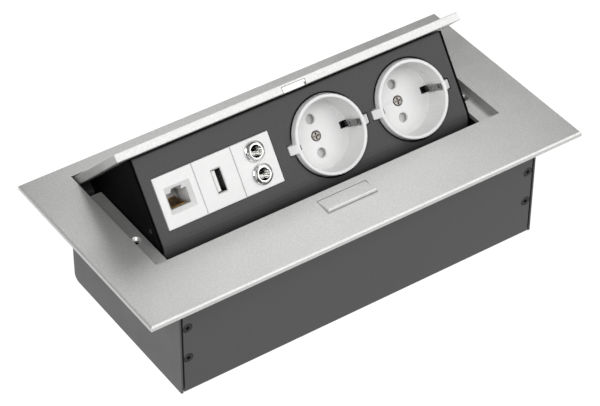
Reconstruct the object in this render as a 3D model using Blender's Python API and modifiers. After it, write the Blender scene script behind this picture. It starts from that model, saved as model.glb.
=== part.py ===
"""In-desk pop-up power module, open: bezel, folded housing, tilting lid with its socket panel."""

import math

import bmesh
import bpy
from mathutils import Matrix, Vector

MM = 0.001

# Fits
GAP = 0.3
RUN = 0.08

# Socket panel, from its left end to its right end
MODULE_MARGIN = 5.95
MODULE_PITCH = 23.58
MODULE_COUNT = 3
MODULE_SPACE = 8.03
SOCKET_SPACE = 3.29
SOCKET_MARGIN = 4.79

# Socket panel, down from its top edge and behind the lid's front edge
PANEL_LEAN = 9.46
PANEL_SET = 7.6
PANEL_HEAD = 6.69
PANEL_FOOT = 5.064
PANEL_BEND = 11.0
PANEL_SHORT = 29.1
PANEL_FLANGE = 10.0
PANEL_TAB = 16.0
MODULE_TALL = 27.95
MODULE_RAISED = 0.915
SHEET = 1.2

# Lid, and the opening and ledges round it
LID_INSET = 10.7
LID_DEPTH = 70.0
LID_THICK = 4.7
LID_EDGE = 0.35
LID_GAP = 0.7
LID_SIDE_GAP = 1.4
REAR_SLOT = 12.9
KEEPER_HALF = 7.35
KEEPER_DROP = 1.25
KEEPER_DEEP = 4.0
OPENING_FRONT = -27.6
LEDGE_WIDE = 9.4
LEDGE_DROP = 4.9
LEDGE_THICK = 2.6
LEDGE_SHORT = 14.4
LEDGE_SCREW_IN = 4.1
LEDGE_SCREW_BACK = 26.2
COLLAR_WALL = 2.1
COLLAR_DEEP = 10.0
POCKET_DEEP = 3.0
POCKET_BACK = 5.0
STOP_SLOPE = 2.4

# Bezel, as far as it reaches from the opening
BEZEL_SIDE = 26.3
BEZEL_FRONT = 37.7
BEZEL_REAR = 9.3
BEZEL_THICK = 2.8
BEZEL_CHAMFER = 0.8

# Housing, round the opening and under the shut panel
FRONT_SET = 27.5
BACK_SET = 4.3
END_SET = 4.3
BASE_CLEAR = 6.3
END_SHEET = 1.0
END_DROP = 0.9
SEAM = 1.0
FRONT_BEND = 1.6
BACK_BEND = 4.0
FLANGE_REACH = 11.2
END_FLANGE = 9.0
SCREW_INSET = 4.8
FRONT_SCREWS = (22.3, 42.7)
BACK_SCREWS = (40.0, 57.0)
SCREW_HEAD = 2.7
SCREW_SHANK = 1.5
INLET_INSET = 33.0
INLET_UP = 20.0
GLAND_THREAD = 8.0
GLAND_BORE = 5.0
GLAND_NUT = 10.2
GROMMET_BORE = 6.0
GROMMET_LIP = 5.0

# Carrier: modelled shut, then turned open about its pivot
OPEN_ANGLE = 45.6
PIVOT_BACK = 1.8
PIVOT_DROP = 23.4
PIVOT_PIN = 2.5
PIN_HEAD = 4.4
HUB = 5.0
HUB_BORE = 4.0
SIDE_PLATE_GAP = 1.0
SIDE_SHEET = 1.0
SIDE_REAR = 3.7
SIDE_FLANGE = 9.0
SIDE_FLANGE_GAP = 3.3
SIDE_SCREW_IN = 3.6
SIDE_SCREW_UP = 17.4
SIDE_HEAD = 1.4
SIDE_SHANK = 0.9
SPRING = 3.6
SPRING_TURNS = 4
SPRING_PITCH = 1.6
COVER_INSET = 10.6
COVER_SHEET = 1.0
CABLE_HALF = 18.0
CABLE_TOP = 18.0
CABLE_LOW = 36.0

# Modules
MODULE_PROUD = 0.8
MODULE_THICK = 3.8
FRAME_WALL = 2.6
RJ_SIDE = 0.36
RJ_WIDE = 11.8
RJ_TALL = 8.4
RJ_FUNNEL = 1.8
RJ_CLIP = 3.2
RJ_BODY = 1.5
RJ_DEEP = 19.0
CONTACT_PITCH = 1.02
USB_WIDE = 5.9
USB_TALL = 13.1
USB_WALL = 0.4
USB_DEEP = 15.0
USB_TONGUE = 1.8
JACK_SIDE = 0.6
JACK_UP = 0.4
JACK_PITCH = 12.5
JACK_NUT = 5.7
JACK_BARREL = 4.3
JACK_BORE = 3.2
JACK_DEEP = 19.0

# Sockets: radii about the well's axis, and heights from the panel's face
RIM_INNER = 19.6
RIM_WALL = 1.9
RIM_FLARE = 0.35
RIM_PROUD = 3.5
WELL_DEEP = 14.0
WELL_TAPER = 0.4
FLOOR = 1.8
HOLDER_OUT = 3.4
HOLDER_CUT = 3.6
PIN_SPACING = 19.0
PIN_HOLE = 2.6
EAR_REACH = 5.5
EAR_END = 0.3
EAR_TALL = 5.0
NOTCH_GAP = 0.6
WINDOW_TALL = 4.0
WINDOW_INWARD = 4.4
WINDOW_OUTWARD = 1.0
WINDOW_TOP = 2.3
STRAP_WIDE = 2.9
STRAP_SHEET = 0.6
FOOT_INWARD = 1.6
NOSE_INWARD = 3.1
SCREW_BOSS = 3.5
SCREW_SEAT = 1.9
CENTRE_HEAD = 2.6
CENTRE_SHANK = 1.4
SHUTTER_THICK = 1.6
SHUTTER_TRAVEL = 6.5
REAR_INWARD = 0.6
REAR_HALF_S = 14.5
REAR_BACK = 31.0
SLEEVE = 2.5
SLEEVE_WALL = 0.7

# Release button and latch bolt, under the bezel in front of the opening
BUTTON_MID = 0.77
SLOT_HALF = 15.56
SLOT_SET = 5.0
SLOT_LONG = 11.2
BUTTON_RAISED = 1.95
BUTTON_SIDE_GAP = 0.4
BUTTON_FRONT_GAP = 0.55
BUTTON_REAR_GAP = 0.25
PIN_SET = 1.3
PIN_DROP = 1.5
BUTTON_PIN = 0.6
FINGER_HALF = 3.0
FINGER_OUT = 3.6
FINGER_THICK = 1.4
FINGER_LOW = 5.2
BOLT_HALF = 7.0
BOLT_DROP = 3.2
BOLT_THICK = 1.3
BOLT_REACH = 1.2
BOLT_CORNER = 0.9
RAIL_GAP = 0.4
RAIL_WALL = 2.0

FINE_COUNT = 48
ROUND_COUNT = 24
SMALL_COUNT = 16

# Places that follow from the sizes
RIM_OUTER = RIM_INNER + RIM_WALL
RIM_BASE = RIM_OUTER + RIM_FLARE
WELL_RADIUS = RIM_INNER - WELL_TAPER
HOLDER = RIM_INNER + HOLDER_OUT
HOLDER_LOW = RIM_INNER - HOLDER_CUT
EAR_HALF = RIM_INNER + EAR_REACH
WINDOW_IN = RIM_INNER - WINDOW_INWARD
WINDOW_OUT = RIM_INNER + WINDOW_OUTWARD
CLIP_BACK = RIM_INNER
CLIP_FOOT = RIM_INNER - FOOT_INWARD
CLIP_NOSE = RIM_INNER - NOSE_INWARD
REAR_HALF_X = RIM_INNER - REAR_INWARD
MODULES_WIDE = MODULE_COUNT * MODULE_PITCH
SOCKET_PITCH = 2 * EAR_HALF + SOCKET_SPACE
SOCKETS_WIDE = 4 * EAR_HALF + SOCKET_SPACE
PANEL_HALF = (MODULE_MARGIN + MODULES_WIDE + MODULE_SPACE + SOCKETS_WIDE + SOCKET_MARGIN) / 2
MODULE_LEFT = MODULE_MARGIN - PANEL_HALF
MODULE_RIGHT = MODULE_LEFT + MODULES_WIDE
SOCKET_FIRST = MODULE_RIGHT + MODULE_SPACE + EAR_HALF
SOCKET_X = (SOCKET_FIRST, SOCKET_FIRST + SOCKET_PITCH)
SOCKET_DOWN = PANEL_HEAD + RIM_BASE
MODULE_MID = SOCKET_DOWN - MODULE_RAISED
MODULE_TOP = MODULE_MID - MODULE_TALL / 2
MODULE_BOTTOM = MODULE_MID + MODULE_TALL / 2
PANEL_TALL = SOCKET_DOWN + RIM_BASE + PANEL_FOOT
PANEL_DROP = PANEL_TALL * math.cos(math.radians(PANEL_LEAN))
LID_HALF = PANEL_HALF + LID_INSET
OPENING_HALF = LID_HALF + LID_SIDE_GAP
LEDGE_HALF = OPENING_HALF - LEDGE_WIDE
END_HALF = OPENING_HALF + END_SET
LID_FRONT = OPENING_FRONT + LID_GAP
LID_REAR = LID_FRONT + LID_DEPTH
OPENING_REAR = LID_REAR + REAR_SLOT
LEDGE_REAR = OPENING_REAR - LEDGE_SHORT
WALL_FRONT = OPENING_FRONT - FRONT_SET
WALL_BACK = OPENING_REAR - BACK_SET
UNDER_LID = -LID_THICK - GAP
PANEL_TOP = LID_FRONT + PANEL_SET
PANEL_BOTTOM = UNDER_LID - PANEL_DROP
PANEL_REACH = LID_REAR - PANEL_SHORT
BODY_DEEP = BASE_CLEAR - PANEL_BOTTOM
PIVOT_Y = LID_REAR + PIVOT_BACK
PIVOT_Z = -PIVOT_DROP
SIDE_PLATE_IN = PANEL_HALF + SIDE_PLATE_GAP
SIDE_PLATE_OUT = SIDE_PLATE_IN + SIDE_SHEET
INLET_Z = INLET_UP - BODY_DEEP
SLOT_REAR = OPENING_FRONT - SLOT_SET
SLOT_FRONT = SLOT_REAR - SLOT_LONG
PIN_Y = SLOT_REAR - PIN_SET
PIN_Z = -PIN_DROP
BOLT_TOP = -BOLT_DROP
BOLT_LOW = BOLT_TOP - BOLT_THICK
NOTCH_HALF = EAR_HALF + NOTCH_GAP
NOTCH_TALL = EAR_TALL + 2 * NOTCH_GAP
WELL_BACK = -WELL_DEEP - FLOOR
SHUTTER_TOP = WELL_BACK - GAP
SHUTTER_LOW = SHUTTER_TOP - SHUTTER_THICK
STRAP_TOP = SHUTTER_LOW - GAP
STRAP_LOW = STRAP_TOP - STRAP_SHEET
REAR_FACE = STRAP_LOW - GAP


class Frame:
    """A body's own space: an empty, and the point in bezel space (mm) that its origin stands for."""

    def __init__(self, name, at, parent=None, tilt=0.0, spot=(0.0, 0.0, 0.0)):
        self.origin = Vector(at)
        self.empty = bpy.data.objects.new(name, None)
        self.empty.empty_display_size = 0.01
        PARTS.objects.link(self.empty)
        self.empty.location = Vector(spot) * MM
        self.empty.rotation_euler = (math.radians(tilt), 0.0, 0.0)
        if parent:
            self.empty.parent = parent.empty


def clear_scene():
    for obj in list(bpy.data.objects):
        bpy.data.objects.remove(obj, do_unlink=True)


def collection(name):
    made = bpy.data.collections.new(name)
    bpy.context.scene.collection.children.link(made)
    return made


def material(name, colour, metallic, roughness):
    made = bpy.data.materials.new(name)
    made.use_nodes = True
    shader = made.node_tree.nodes["Principled BSDF"]
    shader.inputs["Base Color"].default_value = (*colour, 1.0)
    shader.inputs["Metallic"].default_value = metallic
    shader.inputs["Roughness"].default_value = roughness
    return made


def place(name, bm, frame, paint, at):
    """The bmesh, in mm about a point, as an object of the frame. With no paint it is a hidden tool."""
    bmesh.ops.scale(bm, vec=(MM, MM, MM), verts=bm.verts)
    mesh = bpy.data.meshes.new(name)
    bm.to_mesh(mesh)
    bm.free()
    obj = bpy.data.objects.new(name, mesh)
    obj.parent = frame.empty
    obj.location = (Vector(at) - frame.origin) * MM
    if paint:
        mesh.materials.append(paint)
        PARTS.objects.link(obj)
    else:
        TOOLS.objects.link(obj)
        obj.hide_render = True
        obj.display_type = "WIRE"
    return obj


def add(name, bm, frame, paint=None):
    """A closed bmesh, in mm of bezel or panel space, as an object with its origin at the frame's."""
    bmesh.ops.recalc_face_normals(bm, faces=bm.faces)
    bmesh.ops.translate(bm, verts=bm.verts, vec=-frame.origin)
    obj = place(name, bm, frame, paint, frame.origin)
    obj.data.shade_smooth()
    obj.data.set_sharp_from_angle(angle=math.radians(30))
    return obj


def boolean(obj, tool, operation):
    made = obj.modifiers.new(tool.name, "BOOLEAN")
    made.operation = operation
    made.solver = "EXACT"
    made.object = tool


def cut(obj, *tools):
    for tool in tools:
        boolean(obj, tool, "DIFFERENCE")


def join(obj, *tools):
    for tool in tools:
        boolean(obj, tool, "UNION")


def box(x, y, z):
    low = Vector((x[0], y[0], z[0]))
    high = Vector((x[1], y[1], z[1]))
    bm = bmesh.new()
    shape = Matrix.Translation((low + high) / 2) @ Matrix.Diagonal((*(high - low), 1.0))
    bmesh.ops.create_cube(bm, size=1.0, matrix=shape)
    return bm


def tapered(lower, upper, z0, z1):
    """A box on a rectangle of (x0, x1, y0, y1), its top stretched to a second rectangle."""
    bm = box(lower[:2], lower[2:], (z0, z1))
    for vert in bm.verts:
        if vert.co.z > (z0 + z1) / 2:
            vert.co.x = upper[0] if vert.co.x < (lower[0] + lower[1]) / 2 else upper[1]
            vert.co.y = upper[2] if vert.co.y < (lower[2] + lower[3]) / 2 else upper[3]
    return bm


def rod(centre, axis, radius, low, high, segments=ROUND_COUNT):
    """A cylinder from low to high along an axis through the centre."""
    turn = {"x": Matrix.Rotation(math.pi / 2, 4, "Y"), "y": Matrix.Rotation(-math.pi / 2, 4, "X"),
            "z": Matrix.Identity(4)}[axis]
    middle = Matrix.Translation((0, 0, (low + high) / 2))
    bm = bmesh.new()
    bmesh.ops.create_cone(bm, cap_ends=True, segments=segments, radius1=radius, radius2=radius,
                          depth=abs(high - low), matrix=Matrix.Translation(centre) @ turn @ middle)
    return bm


def prism(points, low, high, axis="x"):
    """A flat outline pulled along an axis. Along x it holds (y, z), along y (x, z), along z (x, y)."""
    curve = bpy.data.curves.new("outline", "CURVE")
    curve.dimensions = "2D"
    curve.fill_mode = "BOTH"
    curve.extrude = abs(high - low) / 2
    line = curve.splines.new("POLY")
    line.points.add(len(points) - 1)
    for spot, (a, b) in zip(line.points, points):
        spot.co = (a, b, 0.0, 1.0)
    line.use_cyclic_u = True
    guide = bpy.data.objects.new("outline", curve)
    mesh = bpy.data.meshes.new_from_object(guide)
    bm = bmesh.new()
    bm.from_mesh(mesh)
    bpy.data.objects.remove(guide)
    bpy.data.curves.remove(curve)
    bpy.data.meshes.remove(mesh)
    bmesh.ops.remove_doubles(bm, verts=bm.verts, dist=0.001)
    bmesh.ops.dissolve_limit(bm, angle_limit=math.radians(0.1), verts=bm.verts, edges=bm.edges)
    bmesh.ops.translate(bm, verts=bm.verts, vec=(0, 0, (low + high) / 2))
    bmesh.ops.transform(bm, matrix=ALONG[axis], verts=bm.verts)
    return bm


def bevel(bm, width, test, segments=1):
    edges = [edge for edge in bm.edges if test(edge.verts[0].co, edge.verts[1].co)]
    bmesh.ops.bevel(bm, geom=edges, offset=width, segments=segments, profile=0.5, affect="EDGES")
    return bm


def turned(name, profile, centre, axis, frame, paint=None, segments=ROUND_COUNT):
    """A profile of (radius, distance along the axis) screwed round the axis through the centre."""
    pairs = list(zip(profile, profile[1:] + profile[:1]))
    if sum(a[0] * b[1] - b[0] * a[1] for a, b in pairs) > 0:
        profile = profile[::-1]
    bm = bmesh.new()
    line = []
    for radius, along in profile:
        line.append(bm.verts.new({"x": (along, radius, 0), "y": (0, along, radius),
                                  "z": (radius, 0, along)}[axis]))
    for first, second in zip(line, line[1:]):
        bm.edges.new((first, second))
    if min(radius for radius, along in profile) > 0:
        bm.edges.new((line[-1], line[0]))
    obj = place(name, bm, frame, paint, centre)
    screw = obj.modifiers.new("turn", "SCREW")
    screw.axis = axis.upper()
    screw.steps = segments
    screw.render_steps = segments
    screw.use_merge_vertices = True
    screw.merge_threshold = 0.00001
    return obj


def rounded(corners, step=18.0):
    """Corners of (a, b) or (a, b, radius) as points, each radius made an arc."""
    points = []
    for i, corner in enumerate(corners):
        here = Vector(corner[:2])
        if len(corner) == 2:
            points.append(tuple(here))
            continue
        before = (Vector(corners[i - 1][:2]) - here).normalized()
        after = (Vector(corners[(i + 1) % len(corners)][:2]) - here).normalized()
        half = before.angle(after) / 2
        reach = corner[2] / math.tan(half)
        middle = here + (before + after).normalized() * (corner[2] / math.sin(half))
        start = here + before * reach - middle
        turn = math.pi - 2 * half
        if start.x * (here - middle).y - start.y * (here - middle).x < 0:
            turn = -turn
        count = max(2, round(math.degrees(abs(turn)) / step))
        for k in range(count + 1):
            angle = turn * k / count
            x = start.x * math.cos(angle) - start.y * math.sin(angle)
            y = start.x * math.sin(angle) + start.y * math.cos(angle)
            points.append((middle.x + x, middle.y + y))
    return points


def shifted(points, by):
    """The open path moved to its left by a distance."""
    moved = []
    for i, point in enumerate(points):
        sides = []
        if i > 0:
            sides.append(Vector(point) - Vector(points[i - 1]))
        if i < len(points) - 1:
            sides.append(Vector(points[i + 1]) - Vector(point))
        normals = [Vector((-side.y, side.x)).normalized() for side in sides]
        total = sum(normals, Vector((0.0, 0.0)))
        scale = len(normals) / total.length_squared if len(normals) > 1 else 1.0
        moved.append(tuple(Vector(point) + total * scale * by))
    return moved


def folded(name, corners, low, high, thick, frame, paint=None, axis="x"):
    """A sheet folded along the corners and run along an axis, its thickness to the corners' left."""
    bm = bmesh.new()
    start = min(low, high)
    line = [bm.verts.new(ALONG[axis] @ Vector((a, b, start))) for a, b in rounded(corners)]
    edges = [bm.edges.new(pair) for pair in zip(line, line[1:])]
    pulled = bmesh.ops.extrude_edge_only(bm, edges=edges)["geom"]
    verts = [part for part in pulled if isinstance(part, bmesh.types.BMVert)]
    bmesh.ops.translate(bm, verts=verts, vec=ALONG[axis] @ Vector((0, 0, abs(high - low))))
    bmesh.ops.translate(bm, verts=bm.verts, vec=-frame.origin)
    obj = place(name, bm, frame, paint, frame.origin)
    skin = obj.modifiers.new("sheet", "SOLIDIFY")
    skin.thickness = thick * MM
    skin.offset = -1.0 if axis == "y" else 1.0
    skin.use_even_offset = True
    return obj


def wire(name, points, radius, frame, paint):
    curve = bpy.data.curves.new(name, "CURVE")
    curve.dimensions = "3D"
    curve.bevel_depth = radius * MM
    curve.bevel_resolution = 1
    curve.use_fill_caps = True
    line = curve.splines.new("POLY")
    line.points.add(len(points) - 1)
    for spot, point in zip(line.points, points):
        spot.co = (*((Vector(point) - frame.origin) * MM), 1.0)
    curve.materials.append(paint)
    obj = bpy.data.objects.new(name, curve)
    obj.parent = frame.empty
    PARTS.objects.link(obj)


def bezel_frame(root, silver):
    half = OPENING_HALF + BEZEL_SIDE
    long = (OPENING_FRONT - BEZEL_FRONT, OPENING_REAR + BEZEL_REAR)
    plate = box((-half, half), long, (-BEZEL_THICK, 0.0))
    bevel(plate, BEZEL_CHAMFER, lambda a, b: min(a.z, b.z) > -0.1)
    bezel = add("bezel_frame", plate, root, silver)
    pocket = OPENING_REAR + POCKET_BACK
    wide = (-OPENING_HALF - COLLAR_WALL, OPENING_HALF + COLLAR_WALL)
    long = (OPENING_FRONT - COLLAR_WALL, pocket + COLLAR_WALL)
    join(bezel, add("collar", box(wide, long, (-COLLAR_DEEP, -1.0)), root))
    low = -COLLAR_DEEP - 2
    slope = POCKET_DEEP - STOP_SLOPE
    rear = [(pocket, low), (pocket, -POCKET_DEEP), (OPENING_REAR + STOP_SLOPE, -POCKET_DEEP)]
    rear += [(OPENING_REAR, -slope), (OPENING_REAR, 1.0), (OPENING_FRONT, 1.0)]
    upper = [(OPENING_FRONT, -LEDGE_DROP), (LEDGE_REAR, -LEDGE_DROP), (LEDGE_REAR, low)] + rear
    cut(bezel, add("recess", prism(upper, -OPENING_HALF, OPENING_HALF), root))
    through = prism([(OPENING_FRONT, low)] + rear, -LEDGE_HALF, LEDGE_HALF)
    cut(bezel, add("through", through, root))
    under = box((-OPENING_HALF, OPENING_HALF), (OPENING_FRONT, LEDGE_REAR + 5),
                (low, -LEDGE_DROP - LEDGE_THICK))
    cut(bezel, add("under_ledge", under, root))
    slot = (BUTTON_MID - SLOT_HALF, BUTTON_MID + SLOT_HALF)
    cut(bezel, add("button_slot", box(slot, (SLOT_FRONT, SLOT_REAR), (-BEZEL_THICK - 2, 1.0)), root))
    reach = SLOT_HALF + 1.7
    bore = rod((BUTTON_MID, PIN_Y, PIN_Z), "x", BUTTON_PIN + 0.1, -reach, reach, SMALL_COUNT)
    cut(bezel, add("button_pin_bore", bore, root))
    for side in (-1, 1):
        sink = [(0, 1.0), (3.4, 1.0), (3.0, 0.0), (1.6, -1.5), (1.6, -4.0), (0, -4.0)]
        spot = (side * (OPENING_HALF - LEDGE_SCREW_IN), OPENING_FRONT + LEDGE_SCREW_BACK, -LEDGE_DROP)
        cut(bezel, turned("ledge_hole", sink, spot, "z", root))
    add_latch_rails(bezel, root)


def add_latch_rails(bezel, root):
    """Two hooked rails under the plate, and the bolt's way through the collar."""
    inner = BOLT_HALF + RAIL_GAP
    low = BOLT_LOW - RAIL_GAP
    hook_low = low - 1.3
    top = -BEZEL_THICK - GAP
    front = SLOT_FRONT - 3.5
    rear = OPENING_FRONT - COLLAR_WALL + 0.5
    for side in (-1, 1):
        hook = [(inner, top), (inner, low), (inner - 2.4, low), (inner - 2.4, hook_low)]
        hook += [(inner + RAIL_WALL, hook_low), (inner + RAIL_WALL, top)]
        hook = [(side * x, z) for x, z in hook]
        join(bezel, add("latch_rail", prism(hook, front, rear, "y"), root))
        wide = sorted((side * inner, side * (inner + RAIL_WALL)))
        for near, far in ((front, SLOT_FRONT), (SLOT_REAR, rear)):
            foot = box(wide, (near, far), (top - 0.5, -BEZEL_THICK + 0.8))
            join(bezel, add("rail_foot", foot, root))
    way = box((-inner, inner), (OPENING_FRONT - COLLAR_WALL - 0.5, OPENING_FRONT + 1),
              (low, BOLT_TOP + GAP))
    cut(bezel, add("bolt_way", way, root))


def housing_screws(root, black, targets):
    """Countersunk socket screws through the shell into the flanges of the end plates."""
    sink = [(0, 1.0), (SCREW_HEAD + 0.5, 1.0), (SCREW_HEAD + GAP, 0.0), (SCREW_SHANK + GAP, -1.3),
            (SCREW_SHANK + GAP, -6.0), (0, -6.0)]
    shape = [(0, -0.1), (SCREW_HEAD, -0.1), (SCREW_SHANK, -1.4), (SCREW_SHANK, -5.0), (0, -5.0)]
    number = 0
    for wall, outward, drops in ((WALL_FRONT, -1, FRONT_SCREWS), (WALL_BACK, 1, BACK_SCREWS)):
        for side, end in zip((-1, 1), targets[1:]):
            for drop in drops:
                number += 1
                at = (side * (END_HALF - SCREW_INSET), wall, -drop)
                turn = [(radius, along * outward) for radius, along in sink]
                hole = turned("screw_hole", turn, at, "y", root, None, SMALL_COUNT)
                cut(targets[0], hole)
                cut(end, hole)
                turn = [(radius, along * outward) for radius, along in shape]
                screw = turned(f"housing_screw_{number}", turn, at, "y", root, black, SMALL_COUNT)
                key = sorted((-0.9 * outward, 0.5 * outward))
                cut(screw, add("key", rod(at, "y", 1.15, *key, 6), root))


def housing(root, dark):
    half = END_HALF - END_SHEET - SEAM
    flange = -COLLAR_DEEP - GAP - SHEET
    path = [(WALL_FRONT, -BEZEL_THICK - GAP), (WALL_FRONT, -BODY_DEEP, FRONT_BEND)]
    path += [(WALL_BACK, -BODY_DEEP, BACK_BEND), (WALL_BACK, flange, 0.8)]
    path += [(WALL_BACK + FLANGE_REACH, flange)]
    shell = folded("housing_shell", path, -half, half, SHEET, root, dark)
    for side, bore in ((-1, GLAND_THREAD + GAP), (1, GROMMET_BORE + 2.7)):
        at = (side * (END_HALF - INLET_INSET), WALL_BACK, INLET_Z)
        cut(shell, add("inlet_hole", rod(at, "y", bore, -4.0, 2.0), root))
    ends = [end_plate(root, dark, side) for side in (-1, 1)]
    return shell, ends[0], ends[1]


def end_plate(root, dark, side):
    """A tray: its web closes the housing and its flanges lie behind the shell."""
    name = "end_plate_right" if side > 0 else "end_plate_left"
    outline = [(WALL_FRONT, -BEZEL_THICK - END_DROP), (WALL_FRONT, -BODY_DEEP, 0.8)]
    outline += [(WALL_BACK, -BODY_DEEP, BACK_BEND), (WALL_BACK, -COLLAR_DEEP - GAP)]
    web = prism(rounded(outline), side * (END_HALF - END_SHEET), side * END_HALF)
    plate = add(name, web, root, dark)
    inset = SHEET + GAP
    front = WALL_FRONT + inset
    back = WALL_BACK - inset
    low = -BODY_DEEP + inset
    reach = (side * (END_HALF - 0.5), side * (END_HALF - END_SHEET - END_FLANGE))
    lip = [(front, -8.0), (front, low, FRONT_BEND - GAP), (back, low, BACK_BEND - inset)]
    lip += [(back, 6.0 - BACK_SCREWS[0])]
    join(plate, folded("end_flange", lip, *reach, END_SHEET, root))
    return plate


def inlets(root, black_plastic, rubber):
    """The mains gland with its locknut, and the grommet for data leads, both without a cord."""
    x = END_HALF - INLET_INSET
    at = (-x, WALL_BACK, INLET_Z)
    profile = [(GLAND_BORE, -7.5), (GLAND_THREAD, -7.5), (GLAND_THREAD, GAP), (GLAND_NUT, GAP)]
    profile += [(GLAND_NUT, 5.0), (9.0, 5.4), (9.0, 11.0), (7.6, 13.2), (GLAND_BORE, 13.2)]
    gland = turned("mains_gland_body", profile, at, "y", root, black_plastic)
    ring = add("gland_flats", rod(at, "y", GLAND_NUT + 3.0, GAP - 0.1, 5.1), root)
    cut(ring, add("gland_hex", rod(at, "y", GLAND_NUT, GAP - 0.3, 5.2, 6), root))
    cut(gland, ring)
    behind = -SHEET - GAP
    outer = rod(at, "y", GLAND_NUT + 2.0, behind - 3.6, behind, 6)
    locknut = add("gland_locknut", outer, root, black_plastic)
    cut(locknut, add("locknut_bore", rod(at, "y", GLAND_THREAD + GAP, -9.0, 1.0), root))
    lip = GROMMET_BORE + GROMMET_LIP
    neck = GROMMET_BORE + 2.4
    profile = [(GROMMET_BORE, -3.6), (lip - 0.8, -3.6), (lip, -3.0), (lip, behind)]
    profile += [(neck, behind), (neck, GAP), (lip, GAP), (lip - 0.8, 2.2), (GROMMET_BORE, 2.2)]
    turned("data_grommet", profile, (x, WALL_BACK, INLET_Z), "y", root, rubber)


def button_and_latch(root, button, silver, steel):
    half = SLOT_HALF - BUTTON_SIDE_GAP
    front = SLOT_FRONT + BUTTON_FRONT_GAP
    rear = SLOT_REAR - BUTTON_REAR_GAP
    side = [(rear, -0.05), (front, BUTTON_RAISED), (front, -0.3), (PIN_Y - 1.6, -2.7)]
    side += [(rear, -2.7)]
    body = prism(side, BUTTON_MID - half, BUTTON_MID + half)
    bevel(body, 0.25, lambda a, b: min(a.z, b.z) > -0.1)
    cap = add("release_button", body, button, silver)
    at = (BUTTON_MID, PIN_Y, PIN_Z)
    finger = (PIN_Y - FINGER_OUT - FINGER_THICK / 2, PIN_Y - FINGER_OUT + FINGER_THICK / 2)
    blade = box((-FINGER_HALF, FINGER_HALF), finger, (-FINGER_LOW, -1.0))
    join(cap, add("finger", blade, button))
    bore = rod(at, "x", BUTTON_PIN + RUN, -half - 1, half + 1, SMALL_COUNT)
    cut(cap, add("cap_bore", bore, button))
    reach = SLOT_HALF + 1.3
    add("button_pin", rod(at, "x", BUTTON_PIN, -reach, reach, SMALL_COUNT), root, steel)
    tip = LID_FRONT - GAP
    foot = SLOT_FRONT - BOLT_REACH
    outline = [(-BOLT_HALF, foot), (BOLT_HALF, foot), (BOLT_HALF, tip - BOLT_CORNER)]
    outline += [(BOLT_HALF - BOLT_CORNER, tip), (BOLT_CORNER - BOLT_HALF, tip)]
    outline += [(-BOLT_HALF, tip - BOLT_CORNER)]
    bolt = add("latch_bolt", prism(outline, BOLT_LOW, BOLT_TOP, "z"), root, steel)
    window = box((-FINGER_HALF - 0.6, FINGER_HALF + 0.6), (finger[0] - 1.0, finger[1] + 2.2),
                 (BOLT_LOW - 1, BOLT_TOP + 1))
    cut(bolt, add("bolt_window", window, root))


def lid(carrier, silver, light):
    plate = box((-LID_HALF, LID_HALF), (LID_FRONT, LID_REAR), (-LID_THICK, 0.0))
    bevel(plate, LID_EDGE, lambda a, b: abs(a.z - b.z) < 0.1)
    plate = add("lid_plate", plate, carrier, silver)
    slot = (-KEEPER_HALF, KEEPER_HALF)
    deep = LID_FRONT + KEEPER_DEEP
    rebate = box(slot, (LID_FRONT - 1, deep), (-LID_THICK - 1, -KEEPER_DROP))
    cut(plate, add("keeper_slot", rebate, carrier))
    inner = KEEPER_HALF - GAP
    body = box((-inner, inner), (LID_FRONT, deep - GAP), (-LID_THICK + 0.1, -KEEPER_DROP - GAP))
    keeper = add("latch_keeper", body, carrier, light)
    notch = box((inner - 1.9, inner + 1), (LID_FRONT - 1, LID_FRONT + 1.6), (-LID_THICK - 1, -3.0))
    cut(keeper, add("keeper_notch", notch, carrier))


def face_path(below):
    """The socket panel's outer face from a distance below the lid, round its bend to the bottom edge."""
    lean = math.tan(math.radians(PANEL_LEAN))
    corner = PANEL_TOP + PANEL_DROP * lean
    start = (PANEL_TOP + below * lean, UNDER_LID - below)
    return rounded([start, (corner, PANEL_BOTTOM, PANEL_BEND), (PANEL_REACH, PANEL_BOTTOM)], 12.0)


def socket_panel(carrier, panel, dark):
    top = [(PANEL_TOP + PANEL_TAB, UNDER_LID), (PANEL_TOP, UNDER_LID, 1.3), face_path(3.0)[0]]
    path = rounded(top)[:-1] + face_path(3.0)
    sheet = folded("socket_panel", path, -PANEL_HALF, PANEL_HALF, SHEET, carrier, dark)
    for side in (-1, 1):
        edge = (side * PANEL_HALF, side * (PANEL_HALF - SHEET))
        depth = face_path(2.0) + shifted(face_path(2.0), PANEL_FLANGE)[::-1]
        join(sheet, add("panel_end", prism(depth, *edge), carrier))
    opening = box((MODULE_LEFT - GAP, MODULE_RIGHT + GAP), (-MODULE_BOTTOM - GAP, GAP - MODULE_TOP),
                  (-SHEET - 2, 2.0))
    cut(sheet, add("module_opening", opening, panel))
    for x in SOCKET_X:
        hole = rod((x, -SOCKET_DOWN, 0.0), "z", RIM_BASE + GAP, -SHEET - 2, 2.0, FINE_COUNT)
        notch = box((x - NOTCH_HALF, x + NOTCH_HALF),
                    (-SOCKET_DOWN - NOTCH_TALL / 2, -SOCKET_DOWN + NOTCH_TALL / 2), (-SHEET - 2, 2.1))
        cut(sheet, add("socket_opening", hole, panel), add("ear_notch", notch, panel))
    for side in (-1, 1):
        across = sorted((side * (PANEL_HALF - 6), side * (PANEL_HALF + 3)))
        hole = rod((0, *side_screw_spot()), "x", SIDE_SHANK + GAP, *across, SMALL_COUNT)
        cut(sheet, add("side_hole", hole, carrier))


def side_screw_spot():
    rise = PANEL_DROP - SIDE_SCREW_UP
    y = PANEL_TOP + rise * math.tan(math.radians(PANEL_LEAN)) + SIDE_SCREW_IN
    return y, UNDER_LID - rise


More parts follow.
